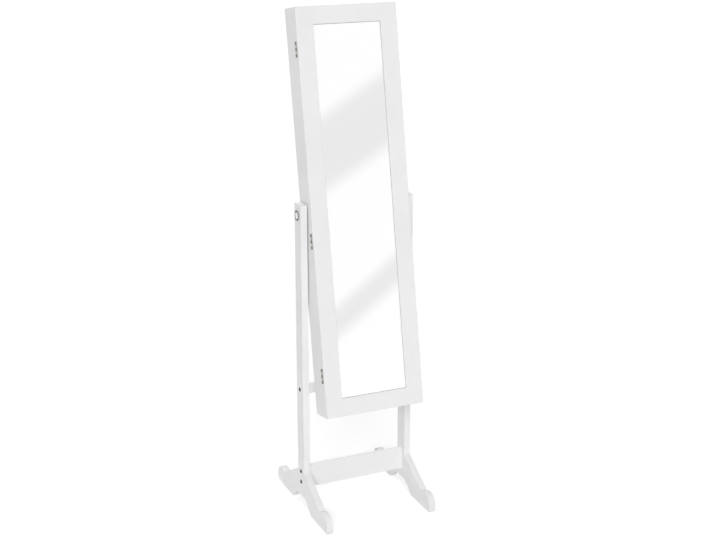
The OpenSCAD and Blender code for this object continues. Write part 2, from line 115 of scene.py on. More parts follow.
def near(value, wanted):
    return abs(value - wanted) < 0.01


def bothNear(first, second, wanted):
    return near(first, wanted) and near(second, wanted)


def facing(direction):
    return lambda centre, normal: normal.dot(direction) > 0.99


def selectFaces(piece, wanted):
    mesh = bmesh.from_edit_mesh(piece.data)
    for face in mesh.faces:
        face.select_set(bool(wanted(face.calc_center_median() / mm, face.normal)))
    bmesh.update_edit_mesh(piece.data)


def selectEdges(piece, wanted):
    mesh = bmesh.from_edit_mesh(piece.data)
    for edge in mesh.edges:
        edge.select_set(bool(wanted(*[vertex.co / mm for vertex in edge.verts])))
    bmesh.update_edit_mesh(piece.data)


# Starting shapes

def named(name):
    piece = bpy.context.object
    piece.name = name
    return piece


def addShape(name, add, **settings):
    deselectAll()
    add(**settings)
    return named(name)


def makeBlock(name, low, high):
    middle = [(a + b) / 2 * mm for a, b in zip(low, high)]
    piece = addShape(name, bpy.ops.mesh.primitive_cube_add, size=1, location=middle)
    piece.scale = [(b - a) * mm for a, b in zip(low, high)]
    return applyPlace(piece)


def makeRod(name, radius, start, end, sides=48):
    a, b = Vector(start) * mm, Vector(end) * mm
    return applyPlace(addShape(name, bpy.ops.mesh.primitive_cylinder_add, vertices=sides,
                               radius=radius * mm, depth=(b - a).length, location=(a + b) / 2,
                               rotation=(b - a).to_track_quat("Z", "Y").to_euler()))


def makeBoard(name, half, depths, heights):
    # a block that reaches as far to the left as to the right
    return makeBlock(name, (-half, depths[0], heights[0]), (half, depths[1], heights[1]))


def makePin(name, radius, start, end, sides=48, z=0, y=0):
    # a rod from side to side
    return makeRod(name, radius, (start, y, z), (end, y, z), sides)


def makeBall(name, radius, centre):
    return applyPlace(addShape(name, bpy.ops.mesh.primitive_uv_sphere_add, segments=24,
                               ring_count=12, radius=radius * mm, location=Vector(centre) * mm))


# Shaping steps

def easeEdges(piece, width, segments=3, angle=30):
    return applyModifier(piece, "BEVEL", width=width * mm, segments=segments, limit_method="ANGLE",
                         angle_limit=math.radians(angle))


def combine(piece, other, operation="DIFFERENCE"):
    applyModifier(piece, "BOOLEAN", object=other, operation=operation, solver="EXACT")
    bpy.data.objects.remove(other)
    return piece


def drill(piece, radius, start, end, sides=32):
    return combine(piece, makeRod("drill", radius, start, end, sides))


def roundEdges(piece, width, wanted, segments=3):
    openEdit(piece, "EDGE")
    selectEdges(piece, wanted)
    bpy.ops.mesh.bevel(offset=width * mm, segments=segments, affect="EDGES")
    closeEdit()
    return piece


def cutAt(piece, point, normal, drop=False):
    # drop takes away what lies beyond the cut and closes the hole
    editAll(piece, bpy.ops.mesh.bisect, plane_co=Vector(point) * mm, plane_no=normal,
            use_fill=drop, clear_outer=drop)


def turnOutwards(piece):
    return editAll(piece, bpy.ops.mesh.normals_make_consistent, inside=False)


def weld(piece, gap):
    editAll(piece, bpy.ops.mesh.remove_doubles, threshold=gap * mm)


def cleanMesh(piece):
    weld(piece, weldGap)
    editAll(piece, bpy.ops.mesh.dissolve_limited, angle_limit=math.radians(0.5))
    return turnOutwards(piece)


def stepFace(piece, direction, steps):
    # each step insets the end face and then raises it
    openEdit(piece)
    selectFaces(piece, facing(direction))
    for inset, rise in steps:
        bpy.ops.mesh.inset(thickness=inset * mm)
        bpy.ops.transform.translate(value=direction * rise * mm)
    closeEdit()


def drawOut(piece, wanted, step, inset=0):
    openEdit(piece)
    selectFaces(piece, wanted)
    if inset:
        bpy.ops.mesh.inset(thickness=inset * mm)
    bpy.ops.mesh.extrude_region_move(TRANSFORM_OT_translate={"value": [size * mm for size in step]})
    closeEdit()


# Copying and placing

def copyPiece(source, name, matrix):
    pick(source)
    bpy.ops.object.duplicate()
    piece = named(name)
    piece.matrix_world = matrix @ piece.matrix_world
    return applyPlace(piece)


def moved(x, y, z):
    return Matrix.Translation(Vector((x, y, z)) * mm)


def mirrored(source, name):
    return turnOutwards(copyPiece(source, name, Matrix.Diagonal((-1, 1, 1, 1))))


def joined(name, *pieces):
    pick(*pieces)
    bpy.ops.object.join()
    return named(name)


def joinedCopies(source, name, matrices):
    copies = [copyPiece(source, name, matrix) for matrix in matrices]
    bpy.data.objects.remove(source)
    return joined(name, *copies)


def lean(piece):
    piece.matrix_world = leaning @ piece.matrix_world
    return applyPlace(piece)


def smoothCurves(piece):
    # rounded edges shade softly while the broad faces stay flat
    weld(piece, sliver)
    editAll(piece, bpy.ops.mesh.dissolve_degenerate, threshold=sliver * mm)
    pick(piece)
    bpy.ops.object.shade_smooth_by_angle(angle=math.radians(40))
    applyModifier(piece, "WEIGHTED_NORMAL", weight=100, keep_sharp=True)


def coat(piece, material):
    piece.data.materials.clear()
    piece.data.materials.append(material)


def place(piece, body, look, *replaced, curves=True):
    slot, material = look
    if curves:
        smoothCurves(piece)
    coat(piece, material)
    for face in piece.data.polygons:
        face.material_index = 0
    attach(piece, body)
    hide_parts(*replaced)


def shadeFaces(piece, material, wanted):
    # a second material on some of a placed piece's faces
    piece.data.materials.append(material)
    for face in piece.data.polygons:
        face.material_index = 1 if wanted(face) else 0


# Shader nodes

def newGroup(name, colours, numbers, vectors=()):
    group = bpy.data.node_groups.new(name, "ShaderNodeTree")
    for kind, labels in (("Vector", ("Vector", *vectors)), ("Color", colours), ("Float", numbers)):
        for label in labels:
            group.interface.new_socket(name=label, in_out="INPUT", socket_type="NodeSocket" + kind)
    for label, kind in (("Colour", "Color"), ("Roughness", "Float"), ("Height", "Float")):
        group.interface.new_socket(name=label, in_out="OUTPUT", socket_type="NodeSocket" + kind)
    return group, group.nodes.new("NodeGroupInput").outputs


def feed(tree, value, socket):
    # a number or a colour is set on the socket, and an output is linked to it
    if isinstance(value, (int, float, tuple)):
        socket.default_value = (*value, 1) if socket.type == "RGBA" else value
    else:
        tree.links.new(value, socket)


def feedAll(tree, node, values):
    for key, value in values.items():
        feed(tree, value, node.inputs[key])
    return node


def addNode(tree, kind, settings=None, values=None):
    node = tree.nodes.new("ShaderNode" + kind)
    for key, value in (settings or {}).items():
        setattr(node, key, value)
    return feedAll(tree, node, values or {})


def addNoise(tree, vector, scale, detail, roughness=0.5):
    return addNode(tree, "TexNoise", None, {
        "Vector": vector, "Scale": scale, "Detail": detail, "Roughness": roughness}).outputs["Fac"]


def addRange(tree, value, low, high, toLow, toHigh):
    node = addNode(tree, "MapRange", {"interpolation_type": "SMOOTHSTEP"}, {
        "Value": value, "From Min": low, "From Max": high, "To Min": toLow, "To Max": toHigh})
    return node.outputs["Result"]


def addMix(tree, factor, first, second):
    node = addNode(tree, "Mix", {"data_type": "RGBA"})
    for key, end in (("Factor", factor), ("A", first), ("B", second)):
        sockets = [socket for socket in node.inputs if socket.name == key and socket.enabled]
        feed(tree, end, sockets[0])
    return [socket for socket in node.outputs if socket.enabled][0]


def closeGroup(group, *values):
    made = group.nodes.new("NodeGroupOutput").inputs
    for value, label in zip(values, ("Colour", "Roughness", "Height")):
        feed(group, value, made[label])
    return group


def addMath(tree, operation, first, second=0.0):
    return addNode(tree, "Math", {"operation": operation}, {0: first, 1: second}).outputs[0]


def addSum(tree, first, second):
    return addMath(tree, "ADD", first, second)


def addShare(tree, value, share):
    return addMath(tree, "MULTIPLY", value, share)


def makePaintGroup():
    # sprayed paint: broad mottle in tone, fine orange peel, and a slightly duller bloom in patches
    group, given = newGroup("sprayed paint", ("Colour", "Shade"),
                                  ("Mottle Scale", "Peel Scale", "Gloss", "Dull"))
    mottle = addNoise(group, given["Vector"], given["Mottle Scale"], 3)
    speck = addNoise(group, given["Vector"], 420.0, 2)
    peel = addNoise(group, given["Vector"], given["Peel Scale"], 2, 0.6)
    patch = addSum(group, addRange(group, mottle, 0.35, 0.7, 0.0, 0.75),
                   addRange(group, speck, 0.66, 0.78, 0.0, 0.5))
    return closeGroup(group, addMix(group, patch, given["Colour"], given["Shade"]),
                      addRange(group, mottle, 0.3, 0.7, given["Gloss"], given["Dull"]),
                      addSum(group, addShare(group, peel, 0.7), addShare(group, mottle, 0.6)))


def makeNapGroup():
    # velvet: the pile lies in brushed patches and each tuft is a fleck
    group, given = newGroup("velvet nap", ("Colour", "Raised"), ("Brush Scale", "Pile Scale"))
    brushed = addNoise(group, given["Vector"], given["Brush Scale"], 3, 0.6)
    pile = addNoise(group, given["Vector"], given["Pile Scale"], 3, 0.7)
    tone = addSum(group, addRange(group, brushed, 0.3, 0.74, 0.0, 0.5),
                  addRange(group, pile, 0.4, 0.75, 0.0, 0.5))
    return closeGroup(group, addMix(group, tone, given["Colour"], given["Raised"]),
                      addRange(group, pile, 0.3, 0.7, 0.8, 0.98),
                      addSum(group, pile, addShare(group, brushed, 0.5)))


def makeMetalGroup():
    # turned or plated metal: fine drawn lines and a cloudy tarnish
    group, given = newGroup("worn metal", ("Colour", "Tarnish"),
                                  ("Cloud Scale", "Polished", "Scuffed", "Tarnish Amount"))
    cloud = addNoise(group, given["Vector"], given["Cloud Scale"], 4, 0.6)
    stretch = addNode(group, "Mapping", None,
                      {"Vector": given["Vector"], "Scale": (5200.0, 260.0, 260.0)})
    lines = addNoise(group, stretch.outputs["Vector"], 1.0, 2)
    amount = addShare(group, addRange(group, cloud, 0.42, 0.7, 0.0, 1.0), given["Tarnish Amount"])
    rough = addRange(group, cloud, 0.3, 0.7, given["Polished"], given["Scuffed"])
    return closeGroup(group, addMix(group, amount, given["Colour"], given["Tarnish"]),
                      addSum(group, rough, addRange(group, lines, 0.35, 0.75, -0.03, 0.06)), lines)


def makeFibreGroup():
    # pressed board or bare wood: fibres drawn out along one direction
    group, given = newGroup("board fibre", ("Colour", "Dark"), ("Fibre Scale",), ("Stretch",))
    stretch = addNode(group, "VectorMath", {"operation": "MULTIPLY"},
                      {0: given["Vector"], 1: given["Stretch"]})
    fibre = addNoise(group, stretch.outputs[0], given["Fibre Scale"], 5, 0.65)
    cloud = addNoise(group, given["Vector"], 14.0, 3)
    tone = addSum(group, addRange(group, fibre, 0.4, 0.68, 0.0, 0.7),
                  addRange(group, cloud, 0.4, 0.7, 0.0, 0.3))
    return closeGroup(group, addMix(group, tone, given["Colour"], given["Dark"]),
                      addRange(group, fibre, 0.3, 0.7, 0.6, 0.85), fibre)


paintGroup, napGroup = makePaintGroup(), makeNapGroup()
metalGroup, fibreGroup = makeMetalGroup(), makeFibreGroup()
print("node groups made")


# Materials

def newMaterial(name):
    material = bpy.data.materials.new(name)
    material.use_nodes = True
    return material, material.node_tree


def surfaceMaterial(name, group, values, bump, bumpDepth, constants):
    material, tree = newMaterial(name)
    where = addNode(tree, "TexCoord").outputs["Object"]
    surface = addNode(tree, "Group", {"node_tree": group}, {"Vector": where, **values}).outputs
    relief = addNode(tree, "Bump", None, {"Strength": bump, "Distance": bumpDepth,
                                          "Height": surface["Height"]})
    feedAll(tree, tree.nodes["Principled BSDF"], {
        "Base Color": surface["Colour"], "Roughness": surface["Roughness"],
        "Normal": relief.outputs["Normal"], **constants})
    return material


def paint(name, colour, shade, mottle, peel, gloss, dull, bump, bumpDepth, specular):
    values = {"Colour": colour, "Shade": shade, "Mottle Scale": mottle,
              "Peel Scale": peel,
              "Gloss": gloss, "Dull": dull}
    return surfaceMaterial(name, paintGroup, values, bump, bumpDepth,
                           {"Specular IOR Level": specular})


def nap(name, colour, raised, brush, pile, bump, bumpDepth, sheen, tint):
    values = {"Colour": colour, "Raised": raised, "Brush Scale": brush,
              "Pile Scale": pile}
    return surfaceMaterial(name, napGroup, values, bump, bumpDepth,
                           {"Specular IOR Level": 0.2, "Sheen Weight": sheen,
                            "Sheen Roughness": 0.35,
                            "Sheen Tint": tint})


def metal(name, colour, tarnish, cloud, polished, scuffed, amount, bump=0.1, constants=None):
    values = {"Colour": colour, "Tarnish": tarnish, "Cloud Scale": cloud,
              "Polished": polished,
              "Scuffed": scuffed, "Tarnish Amount": amount}
    return surfaceMaterial(name, metalGroup, values, bump, 0.0001, constants or {"Metallic": 1.0})


def fibre(name, colour, dark, scale, stretch, bump, bumpDepth):
    values = {"Colour": colour, "Dark": dark, "Fibre Scale": scale,
              "Stretch": (1.0, 1.0, stretch)}
    return surfaceMaterial(name, fibreGroup, values, bump, bumpDepth, {"Specular IOR Level": 0.3})


whitePaint = paint("white satin paint", (0.866, 0.865, 0.866), (0.838, 0.837, 0.838), mottle=7.0,
                   peel=700.0, gloss=0.34, dull=0.44, bump=0.12, bumpDepth=0.0003, specular=0.45)
panelPaint = paint("white panel foil", (0.84, 0.84, 0.83), (0.80, 0.80, 0.79), mottle=5.0,
                   peel=1300.0, gloss=0.48, dull=0.6, bump=0.1, bumpDepth=0.0002, specular=0.4)
darkPlastic = paint("dark nylon", (0.035, 0.035, 0.036), (0.05, 0.05, 0.05), mottle=60.0,
                    peel=1600.0, gloss=0.45, dull=0.6, bump=0.2, bumpDepth=0.0002, specular=0.4)
palePlastic = paint("pale plastic", (0.78, 0.78, 0.76), (0.70, 0.70, 0.68), mottle=50.0,
                    peel=1500.0, gloss=0.4, dull=0.55, bump=0.15, bumpDepth=0.0002, specular=0.45)
velvet = nap("black velvet", (0.013, 0.012, 0.015), (0.028, 0.026, 0.032), brush=22.0, pile=1700.0,
             bump=0.35, bumpDepth=0.0006, sheen=0.35, tint=(0.62, 0.60, 0.66))
paddedVelvet = nap("padded velvet", (0.018, 0.017, 0.021), (0.042, 0.040, 0.048), brush=40.0,
                   pile=1500.0, bump=0.4, bumpDepth=0.0007, sheen=0.5, tint=(0.66, 0.64, 0.70))
brightSteel = metal("plated steel", (0.72, 0.72, 0.73), (0.48, 0.47, 0.46), cloud=130.0,
                    polished=0.16, scuffed=0.32, amount=0.4, bump=0.08)
darkBrass = metal("dark bronze", (0.30, 0.288, 0.262), (0.115, 0.105, 0.09), cloud=160.0,
                  polished=0.25, scuffed=0.45, amount=0.8)
paleBrass = metal("pale bronze", (0.64, 0.62, 0.58), (0.36, 0.34, 0.30), cloud=160.0,
                  polished=0.22, scuffed=0.4, amount=0.7)
# the knob ring's outward face: dark nickel that is partly painted shade
darkNickelShade = metal("dark nickel painted shade", (0.13, 0.126, 0.12), (0.055, 0.053, 0.05), cloud=150.0,
                 polished=0.22, scuffed=0.42, amount=0.7)
blackSteel = metal("blackened steel", (0.055, 0.055, 0.057), (0.022, 0.022, 0.023), cloud=160.0,
                   polished=0.35, scuffed=0.55, amount=0.8, constants={"Metallic": 0.7})
silverMirror = metal("silvered glass", (0.995, 0.997, 0.996), (0.975, 0.98, 0.978), cloud=2.2,
                     polished=0.03, scuffed=0.034, amount=0.5, bump=0.0)
# dark glass edge, also used as painted shade of the frame's lip round the silvering
glassEdgeAndShade = metal("glass edge and painted shade", (0.035, 0.05, 0.046), (0.015, 0.02, 0.019), cloud=60.0,
                  polished=0.3, scuffed=0.5, amount=0.8, bump=0.05,
                  constants={"Specular IOR Level": 0.3})
hardboard = fibre("hardboard", (0.36, 0.26, 0.17), (0.22, 0.15, 0.095), scale=260.0, stretch=0.6,
                  bump=0.3, bumpDepth=0.0004)
beech = fibre("bare beech", (0.62, 0.44, 0.27), (0.42, 0.27, 0.15), scale=420.0, stretch=0.08,
              bump=0.25, bumpDepth=0.0003)

# Looks: a slot's name and a material
painted, foiled = ("white_board", whitePaint), ("white_board", panelPaint)
lined, rolled = ("dark_velvet", velvet), ("padded_velvet", paddedVelvet)
plated, shadeNickelled = ("bright_steel", brightSteel), ("bright_steel", darkNickelShade)
bronzed, paleBronzed = ("aged_brass", darkBrass), ("aged_brass", paleBrass)
print("materials made")


# Posts, feet and cross members

stand = {"postDepth": 48, "postTop": 925, "neck": 118, "shoulder": 3.5, "slopeEnd": (138, 48.5),
         "toe": (163, 19.5, 34), "archHalf": 75, "archTop": 34, "archSlope": 40, "archTangent": 8.0,
         "archPast": 5, "ease": 1.1, "lowBolts": [79, 113], "highBolt": 373, "boltHole": 3.3,
         "bore": 6.05}


def drillAcross(piece, radius, height):
    drill(piece, radius, (postInside - overcut, 0, height), (postOutside + overcut, 0, height))


def makePost():
    deep = stand["postDepth"] / 2
    post = makeBlock("postRight", (postInside, -deep, stand["neck"]),
                     (postOutside, deep, stand["postTop"]))
    easeEdges(post, stand["ease"])
    drillAcross(post, stand["bore"], pivotHeight)
    drillAcross(post, stand["boltHole"], stand["highBolt"])
    return post


def makeArchCutter():
    half, top, past = stand["archHalf"], stand["archTop"], stand["archPast"]
    cutter = makeBlock("arch", (postInside - past, -half - overcut, -overcut),
                       (postOutside + past, half + overcut, top))
    slope = math.radians(stand["archSlope"])
    for side in (-1, 1):
        cutAt(cutter, (0, side * half, 0), (0, side * math.sin(slope), math.cos(slope)), drop=True)
    return roundEdges(cutter, stand["archTangent"],
                      lambda a, b: bothNear(a.z, b.z, top) and near(a.y, b.y), 10)


def makeFoot():
    slopeY, slopeZ = stand["slopeEnd"]
    neckY, neckZ = stand["postDepth"] / 2, stand["neck"] - stand["shoulder"]
    toeY, toeZ, toeRadius = stand["toe"]
    foot = makeBlock("footRight", (postInside, -slopeY, 0), (postOutside, slopeY, neckZ))
    rise = Vector((0, neckZ - slopeZ, slopeY - neckY)).normalized()
    for side in (-1, 1):
        cutAt(foot, (0, side * slopeY, slopeZ), (0, side * rise.y, rise.z), drop=True)
    drawOut(foot, facing(zAxis), (0, 0, stand["shoulder"]))
    for side in (-1, 1):
        toe = makePin("toe", toeRadius, postInside, postOutside, 96, toeZ, side * toeY)
        cutAt(toe, (0, 0, 0), -zAxis, drop=True)
        combine(foot, toe, "UNION")
    combine(foot, makeArchCutter())
    cleanMesh(foot)
    easeEdges(foot, stand["ease"], 3, 24)
    for height in stand["lowBolts"]:
        drillAcross(foot, stand["boltHole"], height)
    return foot


member = {"half": 8.5, "ease": 0.9, "nutBore": 5.1, "nut": 129, "nutFrom": -5.5, "nutTo": 10,
          "hole": (118, 155), "stretcher": (62, 130), "crossRail": (360, 386)}


def makeMember(name, span, heights):
    piece = makeBoard(name, postInside, (-member["half"], member["half"]), span)
    easeEdges(piece, member["ease"])
    for side in (-1, 1):
        nut, start, end = side * member["nut"], side * member["hole"][0], side * member["hole"][1]
        for height in heights:
            drill(piece, member["nutBore"], (nut, member["nutFrom"], height),
                  (nut, member["nutTo"], height))
            drill(piece, stand["boltHole"], (start, 0, height), (end, 0, height))
    return piece


postRight = makePost()
postLeft = mirrored(postRight, "postLeft")
footRight = makeFoot()
footLeft = mirrored(footRight, "footLeft")
stretcher = makeMember("stretcherBoard", member["stretcher"], stand["lowBolts"])
crossRail = makeMember("crossRail", member["crossRail"], [stand["highBolt"]])
for piece, node in ((postRight, "post_right"), (postLeft, "post_left"), (footRight, "foot_right"),
                    (footLeft, "foot_left"), (stretcher, "stretcher"), (crossRail, "cross_rail")):
    place(piece, "stand", painted, node)
print("stand boards made")

bolt = {"headRadius": 6, "base": 0.5, "steps": [(0.5, 0.5), (0.9, 0.5), (0.9, 0.32), (0.7, 0.08)],
        "ease": 0.15, "shankRadius": 3, "length": 52.5, "socket": 2.3, "socketFrom": 0.6,
        "socketTo": 4}


def makeBolt():
    face = postOutside
    head = makePin("boltHead", bolt["headRadius"], face, face + bolt["base"], 40)
    stepFace(head, xAxis, bolt["steps"])
    easeEdges(head, bolt["ease"], 2, 25)
    start, end = face + bolt["socketFrom"], face + bolt["socketTo"]
    combine(head, makePin("key", bolt["socket"], start, end, 6))
    shank = makePin("boltShank", bolt["shankRadius"], face - bolt["length"], face + overlap, 24)
    return joined("frameBolt", head, shank)


firstBolt = makeBolt()
rightBolts = [copyPiece(firstBolt, "bolt", moved(0, 0, height))
              for height in (*stand["lowBolts"], stand["highBolt"])]
leftBolts = [mirrored(piece, "bolt") for piece in rightBolts]
bpy.data.objects.remove(firstBolt)
place(joined("frameBolts", *rightBolts, *leftBolts), "stand", ("black_steel", blackSteel),
      "frame_bolts")
coat(nodes["barrel_nuts"], brightSteel)
coat(nodes["post_dowels"], beech)
coat(nodes["friction_washers"], darkPlastic)
print("stand fittings made")


# Pivot knobs and bushes

knob = {"gap": 0.1, "radius": 15, "skirt": 2.2,
        "ring": [(0.9, 0.8), (1.9, 0.2), (0.8, -0.9), (0.6, -0.5)], "ringEase": 0.15, "grips": 24,
        "gripRadius": 0.9, "gripOut": 0.45, "gripFrom": -1, "gripTo": 8, "studRadius": 3,
        "studEnd": 144, "cap": 10.4, "capFrom": 1.2, "capRise": 2.5, "capEase": 0.3,
        "dome": [(1.2, 0.7), (1.6, 0.35), (2.0, 0.25), (2.0, 0.1)]}
knobBase = postOutside + knob["gap"]


def makeKnobRing():
    outside = knobBase + knob["skirt"]
    ring = makePin("knobRingRight", knob["radius"], knobBase, outside, 96, pivotHeight)
    stepFace(ring, xAxis, knob["ring"])
    easeEdges(ring, knob["ringEase"], 2, 28)
    reach = knob["radius"] + knob["gripOut"]
    start, end = knobBase + knob["gripFrom"], knobBase + knob["gripTo"]
    for count in range(knob["grips"]):
        turn = 2 * math.pi * count / knob["grips"]
        y, z = math.cos(turn) * reach, math.sin(turn) * reach + pivotHeight
        combine(ring, makePin("grip", knob["gripRadius"], start, end, 12, z, y))
    stud = makePin("stud", knob["studRadius"], knob["studEnd"], knobBase + overlap, 32, pivotHeight)
    return joined("knobRingRight", ring, stud)


def makeKnobCap():
    start, end = knobBase + knob["capFrom"], knobBase + knob["capRise"]
    cap = makePin("knobCapRight", knob["cap"], start, end, 64, pivotHeight)
    stepFace(cap, xAxis, knob["dome"])
    return easeEdges(cap, knob["capEase"], 3, 28)


rings, caps = [makeKnobRing()], [makeKnobCap()]
rings.append(mirrored(rings[0], "knobRingLeft"))
caps.append(mirrored(caps[0], "knobCapLeft"))
for ring, cap, node in zip(rings, caps, ("knob_right", "knob_left")):
    # the grip round the outside is plated like the cap, and the face between them is dark nickel,
    # partly painted shade and painted dark reflection in the dished knob
    place(ring, node, shadeNickelled, node)
    shadeFaces(ring, brightSteel, lambda face: abs(face.normal.x) <= 0.5)
    place(cap, node, plated, node)
coat(nodes["pivot_bushes"], brightSteel)
print("knobs made")


# The box

hinge = {"height": 42, "middles": [456, -68, -448], "barrel": 2.6, "notch": 3.0, "notchPast": 0.3,
         "boxCut": (12, 13.75), "doorCut": (11.25, 13), "leafWidth": 12, "leaf": 1.2, "gap": 0.05,
         "corner": 1.6, "knuckles": 5, "knuckleGap": 0.1, "finger": 5, "screwIn": 7.44,
         "screwStep": 14.28, "plateEase": 0.12, "fingerEase": 0.1, "barrelEase": 0.25}
box = {"ease": 0.9, "panelEase": 0.5, "liningEase": 0.4, "bushHole": (6, 155),
       "flangeHole": (10, 140), "holesFrom": 135}
pinX, pinY = -151, 12.5
leafEdge = pinX + hinge["leafWidth"]


def cutMortises(piece, cut):
    half, past = hinge["height"] / 2, hinge["notchPast"]
    for middle in hinge["middles"]:
        low, high = middle - half, middle + half
        combine(piece, makeBlock("mortise", (pinX, cut[0], low), (leafEdge, cut[1], high)))
        drill(piece, hinge["notch"], (pinX, pinY, low - past), (pinX, pinY, high + past))


def makeSide(name, side):
    inside, outside = sorted((side * innerHalf, side * halfWidth))
    board = makeBlock(name, (inside, boxFront, -halfHeight), (outside, boxRear, halfHeight))
    roundEdges(board, box["ease"], lambda a, b: bothNear(abs(a.x), abs(b.x), halfWidth)
               or near(a.z, b.z) and near(a.y, b.y)
               or not near(a.z, b.z) and near(a.y, boxFront))
    middle = (cabinet["pivotDepth"], cabinet["pivotUp"])
    for radius, end in (box["bushHole"], box["flangeHole"]):
        drill(board, radius, (side * box["holesFrom"], *middle), (side * end, *middle))
    if side < 0:
        cutMortises(board, hinge["boxCut"])
    return lean(board)


def makeEnd(name, *heights):
    board = makeBoard(name, innerHalf, (boxFront, boxRear), heights)
    roundEdges(board, box["ease"], lambda a, b: not near(a.x, b.x)
               and (near(abs(a.z), halfHeight) or near(a.y, boxFront)))
    return lean(board)


def boxBoard(name, half, depths, heights, ease, look, replaced):
    board = easeEdges(makeBoard(name, half, depths, heights), ease)
    place(lean(board), "cabinet", look, replaced)


for piece, node in ((makeSide("sideLeft", -1), "side_left"),
                    (makeSide("sideRight", 1), "side_right"),
                    (makeEnd("cabinetTop", innerTop, halfHeight), "cabinet_top"),
                    (makeEnd("cabinetBottom", -halfHeight, -innerTop), "cabinet_bottom")):
    place(piece, "cabinet", painted, node)
boxBoard("backPanel", innerHalf, (liningRear, boxRear), (-innerTop, innerTop), box["panelEase"],
         foiled, "back_panel")
boxBoard("liningBack", innerHalf, (liningFront, liningRear), (-innerTop, innerTop),
         box["liningEase"], lined, "lining_back")
print("box boards made")


# Fittings

shelf = {"thick": 8, "front": 17, "ease": 1.0, "lip": 5, "lipRise": 14, "lipEase": 1.2,
         "liningEase": 0.4}
tray = {"top": 450, "depth": 26, "height": 179.4, "wall": 5, "floor": 1.5, "ease": 0.9}
bar = {"top": 240.6, "step": 42, "thick": 8, "depth": 24, "ease": 1.4, "slots": 14, "slot": 2,
       "slotBelow": 20, "slotAbove": 5}
hook = {"count": 9, "wire": 1.2, "reach": 9, "bend": 4, "lift": 3, "collar": 3.2,
        "collarThick": 1.2, "collarEase": 0.35, "tip": 1.92, "turn": -90, "turnSteps": 8,
        "wireEase": 0.1, "railTop": 116.6, "rail": 16, "railDepth": 10, "railEase": 1.2}
rod = {"y": 54, "z": -265, "radius": 6, "end": 3.2, "ease": 0.3, "cup": 9, "cupLength": 8,
       "cupEase": 1.2, "boreEnd": 12}


def makeSideLinings():
    strips = []
    for side in (-1, 1):
        low, high = sorted((side * clearHalf, side * innerHalf))
        strip = makeBlock("strip", (low, shelf["front"], -innerTop), (high, liningFront, innerTop))
        strips.append(easeEdges(strip, shelf["liningEase"]))
    return lean(joined("liningSides", *strips))


def makeShelves():
    depths = (shelf["front"], liningFront)
    boards = [makeBoard("shelf", clearHalf, depths, (top - shelf["thick"], top))
              for top in shelfTops]
    return lean(joined("shelfBoards", *[easeEdges(board, shelf["ease"]) for board in boards]))


def makeLips():
    lips, depths = [], (shelf["front"], shelf["front"] + shelf["lip"])
    for floor in (*shelfTops, -innerTop):
        lip = makeBoard("lip", clearHalf, depths, (floor, floor + shelf["lipRise"]))
        lips.append(easeEdges(lip, shelf["lipEase"]))
    return lean(joined("shelfLips", *lips))


def makeTray():
    piece = makeBoard("ringTray", clearHalf, (liningFront - tray["depth"], liningFront),
                      (tray["top"] - tray["height"], tray["top"]))
    drawOut(piece, facing(-yAxis), (0, tray["depth"] - tray["floor"], 0), tray["wall"])
    return lean(easeEdges(piece, tray["ease"]))


def makeBars():
    front, top = liningFront - bar["depth"], bar["top"]
    first = makeBoard("bar", clearHalf, (front, liningFront), (top - bar["thick"], top))
    easeEdges(first, bar["ease"], 4)
    pitch, half = 2 * clearHalf / (bar["slots"] + 1), bar["slot"] / 2
    for count in range(1, bar["slots"] + 1):
        x = count * pitch - clearHalf
        slot = makeBlock("slot", (x - half, front - overcut, top - bar["slotBelow"]),
                         (x + half, front + bar["depth"] / 2, top + bar["slotAbove"]))
        combine(first, slot)
    others = [copyPiece(first, "bar", moved(0, 0, -bar["step"] * step)) for step in (1, 2)]
    return lean(joined("earringBars", first, *others))


def makeHookRail():
    rail = makeBoard("hookRail", clearHalf, (liningFront - hook["railDepth"], liningFront),
                     (hook["railTop"] - hook["rail"], hook["railTop"]))
    return lean(easeEdges(rail, hook["railEase"]))


def makeHook():
    reach, bend, lift = hook["reach"], hook["bend"], hook["lift"]
    wire = makeRod("hook", hook["wire"], (0, -reach, 0), (0, 0, 0), 16)
    openEdit(wire)
    selectFaces(wire, facing(-yAxis))
    bpy.ops.mesh.spin(steps=hook["turnSteps"], angle=math.radians(hook["turn"]),
                      center=(0, -reach * mm, bend * mm), axis=xAxis)
    bpy.ops.mesh.extrude_region_move(TRANSFORM_OT_translate={"value": (0, 0, lift * mm)})
    closeEdit()
    weld(wire, weldGap)
    easeEdges(turnOutwards(wire), hook["wireEase"], 1, 50)
    collar = makeRod("collar", hook["collar"], (0, -hook["collarThick"], 0), (0, 0, 0), 24)
    easeEdges(collar, hook["collarEase"], 2)
    tip = makeBall("tip", hook["tip"], (0, -reach - bend, bend + lift))
    bpy.ops.object.shade_smooth()
    return joined("hook", wire, collar, tip)


def makeHooks():
    pitch, middle = 2 * clearHalf / (hook["count"] + 0.5), (hook["count"] - 1) / 2
    y, z = liningFront - hook["railDepth"], hook["railTop"] - hook["rail"] / 2
    spots = [moved((count - middle) * pitch, y, z) for count in range(hook["count"])]
    return lean(joinedCopies(makeHook(), "necklaceHooks", spots))


def makeCups():
    cups = []
    for side in (-1, 1):
        ends = [side * (clearHalf - x) for x in (0, rod["cupLength"], rod["end"], rod["boreEnd"])]
        cup = makePin("cup", rod["cup"], *ends[:2], z=rod["z"], y=rod["y"])
        easeEdges(cup, rod["cupEase"], 4)
        bore = makePin("bore", rod["radius"], *ends[2:], z=rod["z"], y=rod["y"])
        cups.append(combine(cup, bore))
    return lean(joined("rodSockets", *cups))


def makeBraceletRod():
    half = clearHalf - rod["end"]
    piece = makePin("braceletRod", rod["radius"], -half, half, z=rod["z"], y=rod["y"])
    return lean(easeEdges(piece, rod["ease"], 2))


